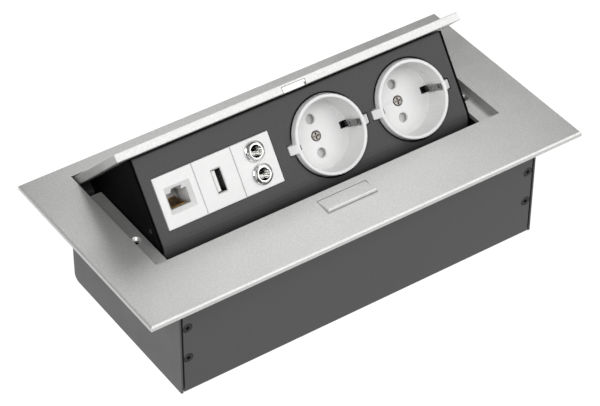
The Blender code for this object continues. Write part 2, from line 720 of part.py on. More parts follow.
def side_plate(carrier, side, grey):
    name = "side_plate_right" if side > 0 else "side_plate_left"
    outline = shifted(face_path(1.0), 1.0)
    for degrees in range(-50, 46, 19):
        angle = math.radians(degrees)
        outline.append((PIVOT_Y + HUB * math.cos(angle), PIVOT_Z + HUB * math.sin(angle)))
    diagonal = PIVOT_Y + PIVOT_Z + HUB * math.sqrt(2)
    top = UNDER_LID - GAP
    rear = LID_REAR - SIDE_REAR
    outline += [(rear, diagonal - rear), (rear, top), (PANEL_TOP + 2.5, top)]
    plate = add(name, prism(outline, side * SIDE_PLATE_IN, side * SIDE_PLATE_OUT), carrier, grey)
    wide = sorted((side * (SIDE_PLATE_IN - SIDE_FLANGE), side * SIDE_PLATE_OUT))
    long = (PANEL_TOP + PANEL_TAB + SIDE_FLANGE_GAP, rear - 3.4)
    join(plate, add("side_flange", box(wide, long, (top - SIDE_SHEET, top)), carrier))
    across = sorted((side * (SIDE_PLATE_IN - 7), side * (SIDE_PLATE_OUT + 7)))
    hub = rod((0, PIVOT_Y, PIVOT_Z), "x", HUB_BORE, *across)
    hole = rod((0, *side_screw_spot()), "x", SIDE_HEAD + GAP, *across, SMALL_COUNT)
    cut(plate, add("bush_hole", hub, carrier), add("side_screw_hole", hole, carrier))


def pivot(root, carrier, side, steel, nylon):
    word = "right" if side > 0 else "left"
    at = (0, PIVOT_Y, PIVOT_Z)
    foot = END_HALF - END_SHEET - GAP
    tip = SIDE_PLATE_IN - 2.0
    pin = [(0, tip), (PIVOT_PIN - 0.4, tip), (PIVOT_PIN, tip + 0.4), (PIVOT_PIN, foot - 1.5)]
    pin += [(PIN_HEAD, foot - 1.5), (PIN_HEAD, foot), (0, foot)]
    pin = [(radius, side * along) for radius, along in pin]
    turned(f"pivot_pin_{word}", pin, at, "x", root, steel)
    inside = SIDE_PLATE_IN - 0.7
    outside = SIDE_PLATE_OUT + GAP
    bore = PIVOT_PIN + RUN
    sleeve = HUB_BORE - GAP
    bush = [(bore, inside), (sleeve, inside), (sleeve, outside), (sleeve + 1.1, outside)]
    bush += [(sleeve + 1.1, outside + 1.1), (bore, outside + 1.1)]
    bush = [(radius, side * along) for radius, along in bush]
    turned(f"pivot_bush_{word}", bush, at, "x", carrier, nylon)
    coil = []
    first = outside + 2.2
    for i in range(SPRING_TURNS * 12 + 1):
        angle = 2 * math.pi * i / 12
        x = side * (first + SPRING_PITCH * i / 12)
        coil.append((x, PIVOT_Y + SPRING * math.cos(angle), PIVOT_Z + SPRING * math.sin(angle)))
    last = side * (first + SPRING_PITCH * SPRING_TURNS)
    down = [(last, PIVOT_Y + SPRING - 1.0, PIVOT_Z - 3.0), (last, PIVOT_Y + SPRING - 5.0, PIVOT_Z - 15.0)]
    wire(f"torsion_spring_{word}", coil + down, 0.45, carrier, steel)
    head = [(0, -3.4), (SIDE_SHANK, -3.4), (SIDE_SHANK, 0.1), (SIDE_HEAD, 0.1), (SIDE_HEAD, 1.0)]
    head += [(SIDE_HEAD - 0.4, 1.3), (0, 1.3)]
    head = [(radius, side * (SIDE_PLATE_IN + along)) for radius, along in head]
    turned(f"side_screw_{word}", head, (0, *side_screw_spot()), "x", carrier, steel, SMALL_COUNT)


def rear_cover(carrier, grey):
    low = PANEL_BOTTOM + SHEET + GAP
    foot = PANEL_REACH + 1.0
    crown = LID_REAR - 5.6
    path = [(foot - 12.0, low), (foot, low, 1.5), (crown, UNDER_LID, 1.5), (crown - 15.5, UNDER_LID)]
    half = PANEL_HALF - COVER_INSET
    sheet = folded("carrier_rear_cover", path, -half, half, COVER_SHEET, carrier, grey)
    way = box((-CABLE_HALF, CABLE_HALF), (foot, crown + 7.5), (-CABLE_LOW, -CABLE_TOP))
    cut(sheet, add("cable_way", way, carrier))


def module_frame(panel, white):
    x = (MODULE_LEFT - FRAME_WALL, MODULE_RIGHT + FRAME_WALL)
    y = (-MODULE_BOTTOM - FRAME_WALL, FRAME_WALL - MODULE_TOP)
    frame = add("module_frame", box(x, y, (-5.0, -SHEET - GAP)), panel, white)
    inner = box((MODULE_LEFT - GAP, MODULE_RIGHT + GAP), (-MODULE_BOTTOM - GAP, GAP - MODULE_TOP),
                (-7.0, 1.0))
    cut(frame, add("frame_inner", inner, panel))


def module_plate(name, index, panel, white):
    left = MODULE_LEFT + index * MODULE_PITCH
    plate = box((left + GAP / 2, left + MODULE_PITCH - GAP / 2), (-MODULE_BOTTOM, -MODULE_TOP),
                (MODULE_PROUD - MODULE_THICK, MODULE_PROUD))
    bevel(plate, 0.3, lambda a, b: a.z > 0 and b.z > 0)
    return add(name, plate, panel, white)


def rj45_module(panel, white, gold):
    plate = module_plate("rj45_plate", 0, panel, white)
    x = MODULE_LEFT + MODULE_PITCH / 2 + RJ_SIDE
    y = -MODULE_MID
    back = MODULE_PROUD - MODULE_THICK
    inner = (x - RJ_WIDE / 2, x + RJ_WIDE / 2, y - 4.9, y - 4.9 + RJ_TALL)
    outer = (inner[0] - RJ_FUNNEL, inner[1] + RJ_FUNNEL, inner[2] - 2.2, inner[3] + 3.8)
    cut(plate, add("rj_funnel", tapered(inner, outer, back + 0.6, MODULE_PROUD), panel))
    cut(plate, add("rj_mouth", box(inner[:2], inner[2:], (back - 1, back + 1)), panel))
    clip = ((x - RJ_CLIP, x + RJ_CLIP), (inner[3] - 0.4, inner[3] + 2.2))
    cut(plate, add("rj_clip_way", box(*clip, (back - 1, 0.0)), panel))
    wide = (inner[0] - RJ_BODY, inner[1] + RJ_BODY)
    body = box(wide, (y - 7.5, y + 7.7), (-RJ_DEEP, back - GAP))
    jack = add("rj45_jack", body, panel, white)
    cut(jack, add("rj_cavity", box(inner[:2], inner[2:], (2.5 - RJ_DEEP, 0.0)), panel))
    cut(jack, add("rj_notch", box(*clip, (8.0 - RJ_DEEP, 0.0)), panel))
    low = 3.1 - RJ_DEEP
    high = -4.4
    outline = [(-4.6, low), (4.6, low)]
    for i in range(8):
        at = (3.5 - i) * CONTACT_PITCH
        outline += [(at + 0.26, low + 1.3), (at + 0.26, high), (at - 0.26, high), (at - 0.26, low + 1.3)]
    wires = prism([(x + a, w) for a, w in outline], -0.18, 0.18, "y")
    slope = math.tan(math.radians(17))
    for vert in wires.verts:
        vert.co.y += inner[2] + 0.6 - (vert.co.z - high) * slope
    add("rj45_contacts", wires, panel, gold)


def usb_module(panel, white, steel, tongue_paint):
    plate = module_plate("usb_plate", 1, panel, white)
    middle = MODULE_LEFT + 1.5 * MODULE_PITCH
    x = (middle - USB_WIDE / 2, middle + USB_WIDE / 2)
    y = (-MODULE_MID - USB_TALL / 2, -MODULE_MID + USB_TALL / 2)
    wide = ((x[0] - 0.15, x[1] + 0.15), (y[0] - 0.15, y[1] + 0.15))
    cut(plate, add("usb_slot", box(*wide, (-8.0, 2.0)), panel))
    shell = add("usb_shell", box(x, y, (-USB_DEEP, MODULE_PROUD - 0.1)), panel, steel)
    x_in = (x[0] + USB_WALL, x[1] - USB_WALL)
    y_in = (y[0] + USB_WALL, y[1] - USB_WALL)
    cut(shell, add("usb_inside", box(x_in, y_in, (1.0 - USB_DEEP, 2.0)), panel))
    tongue = box((x_in[0] + 0.5, x_in[0] + 0.5 + USB_TONGUE), (y_in[0] + 0.5, y_in[1] - 0.5),
                 (1.3 - USB_DEEP, -0.4))
    add("usb_tongue", tongue, panel, tongue_paint)


def audio_module(panel, white, chrome, brass):
    plate = module_plate("audio_plate", 2, panel, white)
    x = MODULE_LEFT + 2.5 * MODULE_PITCH + JACK_SIDE
    for word, turn in (("upper", 1), ("lower", -1)):
        at = (x, -MODULE_MID + JACK_UP + turn * JACK_PITCH / 2, 0.0)
        cut(plate, add("jack_hole", rod(at, "z", JACK_BARREL + GAP, -8.0, 2.0), panel))
        face = MODULE_PROUD + 0.2
        profile = [(JACK_BORE, 2.0 - JACK_DEEP), (JACK_BARREL, 2.0 - JACK_DEEP), (JACK_BARREL, face)]
        profile += [(JACK_NUT, face), (JACK_NUT, face + 0.8), (JACK_NUT - 0.6, face + 1.1)]
        profile += [(JACK_BARREL + 0.1, face + 2.3), (JACK_BARREL - 0.4, face + 2.5)]
        profile += [(JACK_BORE + 0.3, face + 2.5), (JACK_BORE, face + 2.1)]
        jack = turned(f"audio_jack_{word}", profile, at, "z", panel, chrome, 32)
        base = rod(at, "z", JACK_BARREL, -JACK_DEEP, 2.5 - JACK_DEEP, 32)
        join(jack, add("jack_base", base, panel))
        low = 2.8 - JACK_DEEP
        leaf = [(-2.9, low), (-2.5, low), (-2.5, -8.0), (-1.8, -6.0), (-2.6, -3.6)]
        leaf += [(-2.95, -3.6), (-2.2, -6.0), (-2.9, -8.0)]
        leaf = [(x - a, w) for a, w in leaf]
        strip = prism(leaf, at[1] - 0.8, at[1] + 0.8, "y")
        add(f"jack_spring_{word}", strip, panel, brass)


def socket(word, x, panel, white, black, steel, brass):
    at = (x, -SOCKET_DOWN, 0.0)
    profile = [(0, -WELL_DEEP), (WELL_RADIUS - 0.6, -WELL_DEEP), (WELL_RADIUS, -WELL_DEEP + 0.6)]
    profile += [(RIM_INNER, RIM_PROUD - 0.4), (RIM_INNER + 0.4, RIM_PROUD)]
    profile += [(RIM_OUTER - 0.4, RIM_PROUD), (RIM_OUTER, RIM_PROUD - 0.4), (RIM_BASE, 0.0)]
    profile += [(RIM_BASE, WELL_BACK), (SCREW_BOSS, WELL_BACK), (SCREW_BOSS, SHUTTER_LOW)]
    profile += [(0, SHUTTER_LOW)]
    insert = turned(f"socket_insert_{word}", profile, at, "z", panel, white, FINE_COUNT)
    holder = box((x - HOLDER, x + HOLDER), (-SOCKET_DOWN - HOLDER_LOW, -SOCKET_DOWN + HOLDER),
                 (-SHEET - 2.0, -SHEET - GAP))
    bevel(holder, 4.0, lambda a, b: abs(a.z - b.z) > 1.0)
    holder = add("holder", holder, panel)
    cut(holder, add("holder_bore", rod(at, "z", RIM_BASE - 0.6, -9.0, 1.0, FINE_COUNT), panel))
    join(insert, holder)
    for side in (-1, 1):
        ear = [(RIM_INNER + 0.6, RIM_PROUD - 0.2), (RIM_OUTER - 0.1, RIM_PROUD - 0.2)]
        ear += [(EAR_HALF, EAR_END), (EAR_HALF, -9.0), (RIM_INNER + 0.6, -9.0)]
        ear = [(x + side * a, w) for a, w in ear]
        wedge = prism(ear, -SOCKET_DOWN - EAR_TALL / 2, -SOCKET_DOWN + EAR_TALL / 2, "y")
        join(insert, add("ear", bevel(wedge, 0.25, lambda a, b: min(a.z, b.z) > 0), panel))
        reach = sorted((x + side * WINDOW_IN, x + side * WINDOW_OUT))
        tall = (-SOCKET_DOWN - WINDOW_TALL / 2, -SOCKET_DOWN + WINDOW_TALL / 2)
        slot = box(reach, tall, (WELL_BACK - 1, WINDOW_TOP))
        cut(insert, add("earth_window", slot, panel))
        spot = (x, -SOCKET_DOWN + side * PIN_SPACING / 2, 0.0)
        hole = [(0, WELL_BACK - 1), (PIN_HOLE, WELL_BACK - 1), (PIN_HOLE, -WELL_DEEP - 0.4)]
        hole += [(PIN_HOLE + 0.4, -WELL_DEEP), (PIN_HOLE + 0.4, 1 - WELL_DEEP), (0, 1 - WELL_DEEP)]
        cut(insert, turned("pin_hole", hole, spot, "z", panel))
    seat = -WELL_DEEP - SCREW_SEAT
    well = [(0, 1 - WELL_DEEP), (CENTRE_HEAD + 0.45, 1 - WELL_DEEP), (CENTRE_HEAD + 0.45, seat)]
    well += [(CENTRE_SHANK + 0.4, seat), (CENTRE_SHANK + 0.4, SHUTTER_LOW - 1), (0, SHUTTER_LOW - 1)]
    cut(insert, turned("screw_way", well, at, "z", panel))
    earth_strap(word, x, panel, steel)
    head = -WELL_DEEP - 0.1
    screw = [(0, head), (CENTRE_HEAD - 0.4, head), (CENTRE_HEAD, head - 0.4)]
    screw += [(CENTRE_HEAD, seat + GAP), (CENTRE_SHANK, seat + GAP)]
    screw += [(CENTRE_SHANK, 3.0 - REAR_BACK), (0, 3.0 - REAR_BACK)]
    fixing = turned(f"centre_screw_{word}", screw, at, "z", panel, steel, SMALL_COUNT)
    for wide, tall in ((1.9, 0.4), (0.4, 1.9)):
        cross = box((x - wide, x + wide), (-SOCKET_DOWN - tall, -SOCKET_DOWN + tall),
                    (head - 1.0, head + 1))
        cut(fixing, add("screw_cross", cross, panel))
    socket_back(word, x, panel, black, brass)


def earth_strap(word, x, panel, steel):
    """One sprung strap: a clip up each side of the well, joined behind the shutter."""
    sheet = STRAP_SHEET
    back = CLIP_BACK + sheet
    foot = CLIP_FOOT + sheet
    leg = [(back - 1.4, 2.0), (back, 0.4, 0.8), (back, -2.6, 0.8), (CLIP_NOSE + sheet, -6.0, 1.5)]
    leg += [(foot, 1.0 - WELL_DEEP), (foot, STRAP_LOW, 1.2)]
    path = [(x - corner[0], *corner[1:]) for corner in leg]
    path += [(x + corner[0], *corner[1:]) for corner in reversed(leg)]
    tall = (-SOCKET_DOWN - STRAP_WIDE / 2, -SOCKET_DOWN + STRAP_WIDE / 2)
    strap = folded(f"earth_strap_{word}", path, *tall, sheet, panel, steel, "y")
    at = (x, -SOCKET_DOWN, 0.0)
    join(strap, add("strap_eye", rod(at, "z", 4.6, STRAP_LOW + 0.05, STRAP_TOP - 0.05), panel))
    shank = CENTRE_SHANK + 0.4
    cut(strap, add("strap_hole", rod(at, "z", shank, STRAP_LOW - 1, STRAP_TOP + 1, SMALL_COUNT), panel))
    eye = rod((x, -SOCKET_DOWN, -1.1), "x", 0.75, -back - 1, back + 1, 12)
    cut(strap, add("clip_eye", eye, panel))


def socket_back(word, x, panel, black, brass):
    """The shutter that slides across the pin holes, and the body that holds the two contacts."""
    reach = PIN_SPACING / 2 + 3.8
    inner = PIN_SPACING / 2 - 3.8
    spine = -SCREW_BOSS - 0.4
    outline = [(spine - 3.7, -reach), (3.7, -reach), (3.7, -inner), (spine, -inner)]
    outline += [(spine, inner), (3.7, inner), (3.7, reach), (spine - 3.7, reach)]
    outline = [(x + a, -SOCKET_DOWN + b) for a, b in outline]
    shutter = add(f"shutter_{word}", prism(outline, SHUTTER_LOW, SHUTTER_TOP, "z"), panel, black)
    ramp = [(x - 0.3, SHUTTER_TOP), (x + 4.2, SHUTTER_TOP - 1.1), (x + 4.2, SHUTTER_TOP + 0.5)]
    ramp += [(x - 0.3, SHUTTER_TOP + 0.5)]
    across = (-SOCKET_DOWN - reach - 1, -SOCKET_DOWN + reach + 1)
    cut(shutter, add("shutter_ramp", prism(ramp, *across, "y"), panel))
    body = box((x - REAR_HALF_X, x + REAR_HALF_X),
               (-SOCKET_DOWN - REAR_HALF_S, -SOCKET_DOWN + REAR_HALF_S), (-REAR_BACK, REAR_FACE))
    bevel(body, 1.5, lambda a, b: abs(a.z - b.z) > 1.0)
    rear = add(f"socket_rear_body_{word}", body, panel, black)
    at = (x, -SOCKET_DOWN, 0.0)
    shank = CENTRE_SHANK + 0.4
    cut(rear, add("rear_screw_way", rod(at, "z", shank, -REAR_BACK - 1, 0.0, SMALL_COUNT), panel))
    floor = 1.6 - REAR_BACK
    for side, kind in ((-1, "neutral"), (1, "line")):
        y = -SOCKET_DOWN + side * PIN_SPACING / 2
        spot = (x, y, 0.0)
        pocket = rod(spot, "z", SLEEVE + SLEEVE_WALL + 0.5, floor - 0.4, REAR_FACE + 1)
        tail = box((x - 1.4, x + 1.4), (y - 0.7, y + 0.7), (-REAR_BACK - 1, floor + 0.4))
        cut(rear, add("contact_pocket", pocket, panel), add("tail_way", tail, panel))
        tube = [(SLEEVE, REAR_FACE - 0.5), (SLEEVE + SLEEVE_WALL, REAR_FACE - 0.5)]
        tube += [(SLEEVE + SLEEVE_WALL, floor), (SLEEVE, floor)]
        sleeve = turned(f"contact_{kind}_{word}", tube, spot, "z", panel, brass, SMALL_COUNT)
        cap = rod(spot, "z", SLEEVE + 0.4, floor, floor + 0.8, SMALL_COUNT)
        tab = box((x - 1.1, x + 1.1), (y - 0.4, y + 0.4), (-REAR_BACK - 2, floor + 0.4))
        slit = box((x - 4, x + 4), (y - 0.3, y + 0.3), (floor + 1.8, REAR_FACE + 1))
        join(sleeve, add("sleeve_cap", cap, panel), add("sleeve_tab", tab, panel))
        cut(sleeve, add("sleeve_slit", slit, panel))


clear_scene()
PARTS = collection("power_module")
TOOLS = collection("tools")
ALONG = {"x": Matrix(((0, 0, 1), (1, 0, 0), (0, 1, 0))), "y": Matrix(((1, 0, 0), (0, 0, 1), (0, 1, 0))),
         "z": Matrix.Identity(3)}

silver = material("silver_paint", (0.58, 0.58, 0.56), 0.6, 0.45)
dark = material("dark_grey_paint", (0.12, 0.12, 0.12), 0.3, 0.5)
panel_grey = material("satin_grey", (0.13, 0.13, 0.13), 0.2, 0.45)
white = material("white_plastic", (0.86, 0.86, 0.85), 0.0, 0.3)
black = material("black_plastic", (0.02, 0.02, 0.02), 0.0, 0.45)
rubber = material("black_rubber", (0.02, 0.02, 0.02), 0.0, 0.8)
nylon = material("grey_nylon", (0.4, 0.4, 0.38), 0.0, 0.5)
steel = material("bright_steel", (0.6, 0.6, 0.6), 1.0, 0.25)
chrome = material("chrome", (0.8, 0.8, 0.8), 1.0, 0.06)
blackened = material("black_steel", (0.02, 0.02, 0.02), 0.8, 0.4)
brass = material("brass", (0.7, 0.5, 0.2), 1.0, 0.3)
gold = material("gold_plate", (0.85, 0.6, 0.2), 1.0, 0.2)

root = Frame("bezel_space", (0, 0, 0), spot=(0, 0, BODY_DEEP))
carrier = Frame("carrier_axis", (0, PIVOT_Y, PIVOT_Z), root, -OPEN_ANGLE, (0, PIVOT_Y, PIVOT_Z))
panel_at = (0, PANEL_TOP - PIVOT_Y, UNDER_LID - PIVOT_Z)
panel = Frame("panel_space", (0, 0, 0), carrier, 90 + PANEL_LEAN, panel_at)
pin_at = (BUTTON_MID, PIN_Y, PIN_Z)
button = Frame("button_axis", pin_at, root, 0.0, pin_at)

bezel_frame(root, silver)
housing_screws(root, blackened, housing(root, dark))
inlets(root, black, rubber)
button_and_latch(root, button, silver, steel)
lid(carrier, silver, nylon)
socket_panel(carrier, panel, panel_grey)
for end in (-1, 1):
    side_plate(carrier, end, dark)
    pivot(root, carrier, end, steel, nylon)
rear_cover(carrier, dark)
module_frame(panel, white)
rj45_module(panel, white, gold)
usb_module(panel, white, steel, white)
audio_module(panel, white, chrome, brass)
for word, centre in zip(("left", "right"), SOCKET_X):
    socket(word, centre, panel, white, black, steel, brass)
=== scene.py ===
import math

import bmesh
import bpy
from mathutils import Matrix, Vector


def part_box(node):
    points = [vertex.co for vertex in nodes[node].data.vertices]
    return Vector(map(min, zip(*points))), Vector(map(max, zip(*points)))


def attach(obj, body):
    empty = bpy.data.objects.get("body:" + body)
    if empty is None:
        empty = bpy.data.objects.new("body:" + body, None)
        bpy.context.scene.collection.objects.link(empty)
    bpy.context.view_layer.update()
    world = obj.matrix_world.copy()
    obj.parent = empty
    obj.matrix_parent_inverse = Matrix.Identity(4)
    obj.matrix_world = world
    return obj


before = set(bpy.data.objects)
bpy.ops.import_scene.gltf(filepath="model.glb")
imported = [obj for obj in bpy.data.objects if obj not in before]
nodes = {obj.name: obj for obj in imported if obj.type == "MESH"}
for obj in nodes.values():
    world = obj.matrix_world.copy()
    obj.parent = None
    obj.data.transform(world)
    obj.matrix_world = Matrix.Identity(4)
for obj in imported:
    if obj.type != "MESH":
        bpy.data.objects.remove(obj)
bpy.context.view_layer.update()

# Lengths in metres, angles in degrees

# Camera; TOP is the level of the bezel's top face
TOP = 0.066
CAMERA = dict(azimuth=-34.73, elevation=40.42, roll=0.28, distance=1.25579,
              target=(-0.02223, -0.02878, TOP), lens=146.493, sensor=36.0)

# Grain, painted shade in recesses, and edges
MIDDLE = (0.3, 0.7)
CLOUD_TONE = (0.965, 1.035)
CELL_SCALE = 1.6
SHADE_TONE = (0.03, 1.0)
SHADE_SPAN = (0.15, 0.8)
SHADE_SAMPLES = 8
SMOOTH_UP_TO = 32
BEVEL_FROM = 40
BEVEL_STEPS = 2

# Panel, and the painted shadow rings round the sockets on it
PANEL_ANGLE = math.radians(36.14)
OUT = Vector((0, -math.cos(PANEL_ANGLE), math.sin(PANEL_ANGLE)))
UP = Vector((0, math.sin(PANEL_ANGLE), math.cos(PANEL_ANGLE)))
RING_RADII = (0.02220, 0.02285)
RING_LEVELS = (0.00002, 0.00012)
RING_CROWN = 0.75
EAR_ANGLE = 12.5
RING_STEPS = 40

# Floor, lights and world: each lobe has a direction, an edge and an amount
FLOOR_HALF = 6.0
FLOOR_LEVEL = -0.0004
KEY = dict(place=(-0.90, -0.95, 1.35), target=(0, 0, 0.08), size=(0.8, 0.8), power=13)
SHEEN = dict(place=(0.17, 0.23, 0.40), target=(-0.04, -0.06, TOP), size=(0.40, 0.2), power=0.54)
WORLD_BASE = 0.30
WORLD_LEAST = 0.02
CARD = (-0.434, -0.626, 0.648)
WORLD_LOBES = (
    ((0.46, -0.63, 0.64), 0.74, 2.1),
    ((-0.95, 0.05, 0.30), 0.40, 0.5),
    ((0.50, 0.60, 0.62), 0.00, -0.29),
    (CARD, 0.965, -1.1),
)


def link_object(name, data):
    made = bpy.data.objects.new(name, data)
    bpy.context.scene.collection.objects.link(made)
    return made


def mesh_of(name, bm, material):
    mesh = bpy.data.meshes.new(name)
    bm.to_mesh(mesh)
    bm.free()
    mesh.materials.append(material)
    return mesh


# Materials


def new_material(name):
    made = bpy.data.materials.new(name)
    made.use_nodes = True
    return made, made.node_tree, made.node_tree.nodes["Principled BSDF"]


def add_node(tree, kind, **values):
    made = tree.nodes.new("ShaderNode" + kind)
    for name, value in values.items():
        made.inputs[name.replace("_", " ")].default_value = value
    return made


def grey(value, warmth=0.985):
    return (value, value, value * warmth)


def ramp_of(tree, source, tones):
    ramp = tree.nodes.new("ShaderNodeValToRGB")
    for stop, tone, place in zip(ramp.color_ramp.elements, tones, MIDDLE):
        stop.position = place
        stop.color = (*tone, 1.0)
    tree.links.new(source, ramp.inputs["Fac"])
    return ramp.outputs["Color"]


def spread_of(tree, source, results, span=MIDDLE):
    low, high = results
    start, end = span
    spread = add_node(tree, "MapRange", From_Min=start, From_Max=end, To_Min=low, To_Max=high)
    tree.links.new(source, spread.inputs["Value"])
    return spread.outputs["Result"]


def times(tree, colour, factor):
    mixed = tree.nodes.new("ShaderNodeVectorMath")
    mixed.operation = "MULTIPLY"
    tree.links.new(colour, mixed.inputs[0])
    tree.links.new(factor, mixed.inputs[1])
    return mixed.outputs["Vector"]


def surface(name, tones, grain, metallic=0.0, rough=(0.35, 0.45), relief=0.0, specular=0.5,
            stretch=(1, 1, 1), clouds=60.0, fleck=0.0, painted_shade=0.0):
    """Grain in the colour, clouds in tone and gloss, fine relief, all in the part's own space;
    where painted_shade is set, ambient occlusion darkens the colour in recesses as painted shade.
    """
    made, tree, shader = new_material(name)
    link = tree.links.new
    place = tree.nodes.new("ShaderNodeTexCoord")
    scaled = add_node(tree, "Mapping", Scale=stretch)
    link(place.outputs["Object"], scaled.inputs["Vector"])
    fine = add_node(tree, "TexNoise", Scale=grain, Detail=3.0, Roughness=0.62)
    link(scaled.outputs["Vector"], fine.inputs["Vector"])
    broad = add_node(tree, "TexNoise", Scale=clouds, Detail=4.0, Roughness=0.55, Distortion=0.4)
    link(place.outputs["Object"], broad.inputs["Vector"])
    colour = ramp_of(tree, fine.outputs["Fac"], tones)
    if fleck:
        cells = add_node(tree, "TexVoronoi", Scale=grain * CELL_SCALE)
        link(place.outputs["Object"], cells.inputs["Vector"])
        tone = spread_of(tree, cells.outputs["Color"], (1.0 - fleck, 1.0 + fleck), (0.0, 1.0))
        colour = times(tree, colour, tone)
    colour = times(tree, colour, spread_of(tree, broad.outputs["Fac"], CLOUD_TONE))
    # Painted shade: ambient occlusion darkens the base colour in recesses and near other parts
    if painted_shade:
        nook = add_node(tree, "AmbientOcclusion", Distance=painted_shade)
        nook.samples = SHADE_SAMPLES
        shade_factor = spread_of(tree, nook.outputs["AO"], SHADE_TONE, SHADE_SPAN)
        colour = times(tree, colour, shade_factor)
    link(colour, shader.inputs["Base Color"])
    link(spread_of(tree, broad.outputs["Fac"], rough), shader.inputs["Roughness"])
    shader.inputs["Metallic"].default_value = metallic
    shader.inputs["Specular IOR Level"].default_value = specular
    if relief:
        bump = add_node(tree, "Bump", Strength=1.0, Distance=relief)
        link(fine.outputs["Fac"], bump.inputs["Height"])
        link(bump.outputs["Normal"], shader.inputs["Normal"])
    return made


# Painted metal
silver = surface("silver_paint", (grey(0.51), grey(0.61)), 1000, 0.70, (0.37, 0.43), 0.000012,
                 fleck=0.06)
# A lighter, more diffuse copy of the silver paint: painted sheen on the button's tilted faces,
# which miss the sheen lamp's reflection
button_silver_and_sheen = surface("button_silver_and_sheen", (grey(0.74), grey(0.82)), 1000, 0.30, (0.40, 0.46),
                        0.000012, fleck=0.05)
keeper_silver = surface("keeper_silver", (grey(0.66), grey(0.74)), 900, 0.7, (0.36, 0.42),
                        0.000008)
shell_paint = surface("shell_paint", (grey(0.040, 1.0), grey(0.050, 1.0)), 1300, 0.0,
                      (0.33, 0.41), 0.000012, clouds=40)
# Panel paint with painted shade, darker near the bezel gap and round the sockets
panel_paint = surface("panel_paint", (grey(0.068, 1.0), grey(0.080, 1.0)), 1300, 0.0,
                      (0.42, 0.50), 0.00001, 0.15, clouds=40, painted_shade=0.004)
# Near black, far darker than the housing paint: painted shade that makes the gaps into the
# housing read black
inner_paint_and_shade = surface("inner_paint_and_shade", (grey(0.001), grey(0.003)), 1100, 0.0, (0.5, 0.65),
                      0.00001, 0.05)

# Plastic and rubber
WHITES = (grey(0.765, 0.995), grey(0.795, 0.995))
white = surface("white_plastic", WHITES, 2200, 0.0, (0.26, 0.36), 0.000004)
# White plastic with painted shade, darker deep in the jack's cavity
white_painted_shade = surface("white_painted_shade", WHITES, 2200, 0.0, (0.26, 0.36), 0.000004, painted_shade=0.005)
tongue_white = surface("tongue_white", (grey(0.76), grey(0.8)), 2000, 0.0, (0.3, 0.4), 0.000004)
black = surface("black_plastic", (grey(0.008), grey(0.013)), 1500, 0.0, (0.4, 0.5), 0.00001)
shutter_grey = surface("shutter_grey", (grey(0.5), grey(0.56)), 1800, 0.0, (0.35, 0.45),
                       0.000004)
rubber = surface("black_rubber", (grey(0.012), grey(0.02)), 1200, 0.0, (0.7, 0.85), 0.00002, 0.3)
# Near black, for the painted shadow rings round the socket inserts
gap_shadow_black = surface("gap_shadow_black", (grey(0.001), grey(0.004)), 1500, 0.0, (0.6, 0.75),
                      0.000006, 0.05)
nylon = surface("grey_nylon", (grey(0.36), grey(0.42)), 1500, 0.0, (0.45, 0.55), 0.000006)

# Bare metal, much of it brushed along the part's own x
BRUSHED = (1, 12, 12)
steel = surface("bright_steel", (grey(0.52), grey(0.64)), 700, 1.0, (0.2, 0.32), 0.000003,
                stretch=BRUSHED)
# USB shell steel, darker than bright steel and with painted shade, so its edges read as a dark
# line
shell_steel = surface("shell_steel", (grey(0.26), grey(0.38)), 700, 1.0, (0.2, 0.3), 0.000003,
                      stretch=BRUSHED, painted_shade=0.0015)
# Steel toned down and given painted shade, so the earth straps and jack springs read dark deep in
# their slots
strap_steel_and_shade = surface("strap_steel_and_shade", (grey(0.17), grey(0.27)), 700, 1.0, (0.18, 0.28), 0.000003,
                      stretch=BRUSHED, painted_shade=0.003)
# Screw steel with painted shade in its recesses
screw_steel = surface("screw_steel", ((0.19, 0.172, 0.158), (0.32, 0.295, 0.272)), 900, 1.0,
                      (0.22, 0.34), 0.000004, painted_shade=0.0012)
chrome = surface("chrome", (grey(0.72), grey(0.8)), 500, 1.0, (0.05, 0.11), clouds=220)
blackened = surface("black_steel", (grey(0.006), grey(0.014)), 1300, 0.5, (0.28, 0.42), 0.000006)
brass = surface("brass", ((0.6, 0.4, 0.15), (0.72, 0.5, 0.2)), 800, 1.0, (0.24, 0.36),
                stretch=(1, 8, 8))
# Gold wires with painted shade between them
gold = surface("gold_wires", ((0.36, 0.2, 0.05), (0.62, 0.4, 0.13)), 900, 1.0, (0.2, 0.32),
               stretch=(1, 0.1, 1), painted_shade=0.002)

FINISH = {
    "bezel_frame": silver, "lid_plate": silver, "release_button": button_silver_and_sheen,
    "latch_keeper": keeper_silver, "housing_shell": shell_paint, "end_plate_left": shell_paint,
    "end_plate_right": shell_paint, "socket_panel": panel_paint, "side_plate_left": inner_paint_and_shade,
    "side_plate_right": inner_paint_and_shade, "carrier_rear_cover": inner_paint_and_shade, "data_grommet": rubber,
    "rj45_contacts": gold, "rj45_jack": white_painted_shade, "usb_tongue": tongue_white,
    "module_frame": white, "mains_gland_body": black, "gland_locknut": black,
}
STEMS = {
    "housing_screw": blackened, "side_screw": blackened, "rj45": white, "usb_plate": white,
    "usb_shell": shell_steel, "audio_plate": white, "audio_jack": chrome,
    "jack_spring": strap_steel_and_shade, "socket_insert": white, "shutter": shutter_grey,
    "socket_rear_body": black, "contact_": brass, "pivot_bush": nylon,
    "earth_strap": strap_steel_and_shade, "centre_screw": screw_steel,
}
SOFTENED = {
    "bezel_frame": 0.00015, "housing_shell": 0.0002, "end_plate_left": 0.0002,
    "end_plate_right": 0.0002, "release_button": 0.0001, "lid_plate": 0.00012,
}


def finish_of(name):
    """The node's own finish, or its kind's; what is left, such as pins and springs, is steel."""
    if name in FINISH:
        return FINISH[name]
    for stem, made in STEMS.items():
        if name.startswith(stem):
            return made
    return steel


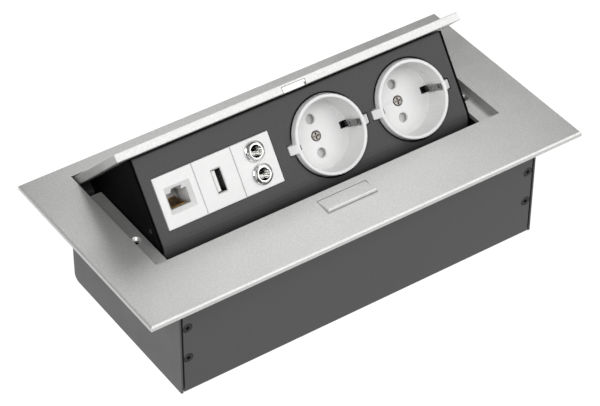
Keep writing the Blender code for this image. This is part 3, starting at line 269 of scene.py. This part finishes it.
def dress_nodes():
    for name, obj in nodes.items():
        obj.data.materials.clear()
        obj.data.materials.append(finish_of(name))
        obj.data.shade_smooth()
        obj.data.set_sharp_from_angle(angle=math.radians(SMOOTH_UP_TO))
        if name in SOFTENED:
            edge = obj.modifiers.new("soft_edges", "BEVEL")
            edge.width = SOFTENED[name]
            edge.segments = BEVEL_STEPS
            edge.limit_method = "ANGLE"
            edge.angle_limit = math.radians(BEVEL_FROM)


# Gap rings: painted shadow along the joint round each socket insert


def panel_level():
    """How far out the panel's front face lies, along its own normal."""
    panel = nodes["socket_panel"]
    return max(OUT.dot(panel.matrix_world @ point.co) for point in panel.data.vertices)


def ring_section(bm, middle, turn):
    spoke = Vector((math.cos(turn), 0, 0)) + UP * math.sin(turn)
    inner, outer = (middle + spoke * radius for radius in RING_RADII)
    base, crown = RING_LEVELS
    edge = outer * RING_CROWN + inner * (1 - RING_CROWN)
    places = (inner + OUT * base, outer + OUT * base, edge + OUT * crown, inner + OUT * crown)
    return [bm.verts.new(place) for place in places]


def add_gap_shadow_ring(side):
    """A black band laid on the panel just outside a socket insert: the dark joint, widened by
    painted shadow, in two arcs from ear to ear.
    """
    low, high = (Vector(corner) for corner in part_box("centre_screw_" + side))
    middle = (low + high) / 2
    middle += OUT * (panel_level() - OUT.dot(middle))
    bm = bmesh.new()
    for start in (0, 180):
        loops = []
        for step in range(RING_STEPS + 1):
            turn = start + EAR_ANGLE + (180 - 2 * EAR_ANGLE) * step / RING_STEPS
            loops.append(ring_section(bm, middle, math.radians(turn)))
        for near, far in zip(loops, loops[1:]):
            for index in range(4):
                after = (index + 1) % 4
                bm.faces.new((near[index], near[after], far[after], far[index]))
        bm.faces.new(loops[0][::-1])
        bm.faces.new(loops[-1])
    bmesh.ops.recalc_face_normals(bm, faces=bm.faces)
    name = "socket_gap_shadow_" + side
    ring = link_object(name, mesh_of(name, bm, gap_shadow_black))
    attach(ring, "carrier")


# Stage


def add_area(name, place, target, size, power):
    light = bpy.data.lights.new(name, "AREA")
    light.shape = "RECTANGLE"
    light.size, light.size_y = size
    light.energy = power
    lamp = link_object(name, light)
    lamp.location = place
    aim = Vector(target) - Vector(place)
    lamp.rotation_euler = aim.to_track_quat("-Z", "Y").to_euler()
    return lamp


def add_floor():
    """A floor that shows white, and that only glossy surfaces pick up."""
    made, _, shader = new_material("floor_white")
    shader.inputs["Base Color"].default_value = (0.1, 0.1, 0.1, 1)
    shader.inputs["Roughness"].default_value = 1.0
    shader.inputs["Specular IOR Level"].default_value = 0.0
    shader.inputs["Emission Color"].default_value = (1, 1, 1, 1)
    shader.inputs["Emission Strength"].default_value = 1.0
    bm = bmesh.new()
    bmesh.ops.create_grid(bm, x_segments=1, y_segments=1, size=FLOOR_HALF)
    floor = link_object("floor", mesh_of("floor", bm, made))
    floor.location.z = FLOOR_LEVEL
    floor.visible_diffuse = False


def add_world():
    """A studio brighter in front and on the left, darker behind, with a dark card in front."""
    world = bpy.data.worlds.new("studio")
    bpy.context.scene.world = world
    world.use_nodes = True
    tree = world.node_tree
    back = tree.nodes["Background"]
    place = tree.nodes.new("ShaderNodeTexCoord")
    total = None
    for direction, edge, amount in WORLD_LOBES:
        facing = tree.nodes.new("ShaderNodeVectorMath")
        facing.operation = "DOT_PRODUCT"
        facing.inputs[1].default_value = Vector(direction).normalized()
        tree.links.new(place.outputs["Generated"], facing.inputs[0])
        lobe = add_node(tree, "MapRange", From_Min=edge, To_Max=amount)
        lobe.interpolation_type = "SMOOTHSTEP"
        tree.links.new(facing.outputs["Value"], lobe.inputs["Value"])
        joined = tree.nodes.new("ShaderNodeMath")
        joined.inputs[0].default_value = WORLD_BASE
        if total:
            tree.links.new(total.outputs["Value"], joined.inputs[0])
        tree.links.new(lobe.outputs["Result"], joined.inputs[1])
        total = joined
    kept = tree.nodes.new("ShaderNodeMath")
    kept.operation = "MAXIMUM"
    kept.inputs[1].default_value = WORLD_LEAST
    tree.links.new(total.outputs["Value"], kept.inputs[0])
    tree.links.new(kept.outputs["Value"], back.inputs["Strength"])
    back.inputs["Color"].default_value = (1, 1, 1, 1)


def add_lights():
    add_area("key", **KEY)
    sheen = add_area("sheen", **SHEEN)
    sheen.visible_diffuse = False


def add_camera():
    az, el, roll = (math.radians(CAMERA[name]) for name in ("azimuth", "elevation", "roll"))
    back = Vector((math.sin(az) * math.cos(el), -math.cos(az) * math.cos(el), math.sin(el)))
    right = (-back).cross(Vector((0, 0, 1))).normalized()
    up = right.cross(-back)
    side = right * math.cos(roll) + up * math.sin(roll)
    above = up * math.cos(roll) - right * math.sin(roll)
    camera = link_object("camera", bpy.data.cameras.new("camera"))
    camera.data.lens = CAMERA["lens"]
    camera.data.sensor_width = CAMERA["sensor"]
    turn = Matrix((side, above, back)).transposed().to_4x4()
    place = Vector(CAMERA["target"]) + back * CAMERA["distance"]
    camera.matrix_world = Matrix.Translation(place) @ turn
    bpy.context.scene.camera = camera


dress_nodes()
for end in ("left", "right"):
    add_gap_shadow_ring(end)
add_floor()
add_world()
add_lights()
add_camera()
view = bpy.context.scene.view_settings
view.view_transform = "Standard"
view.look = "None"
view.exposure = 0.0
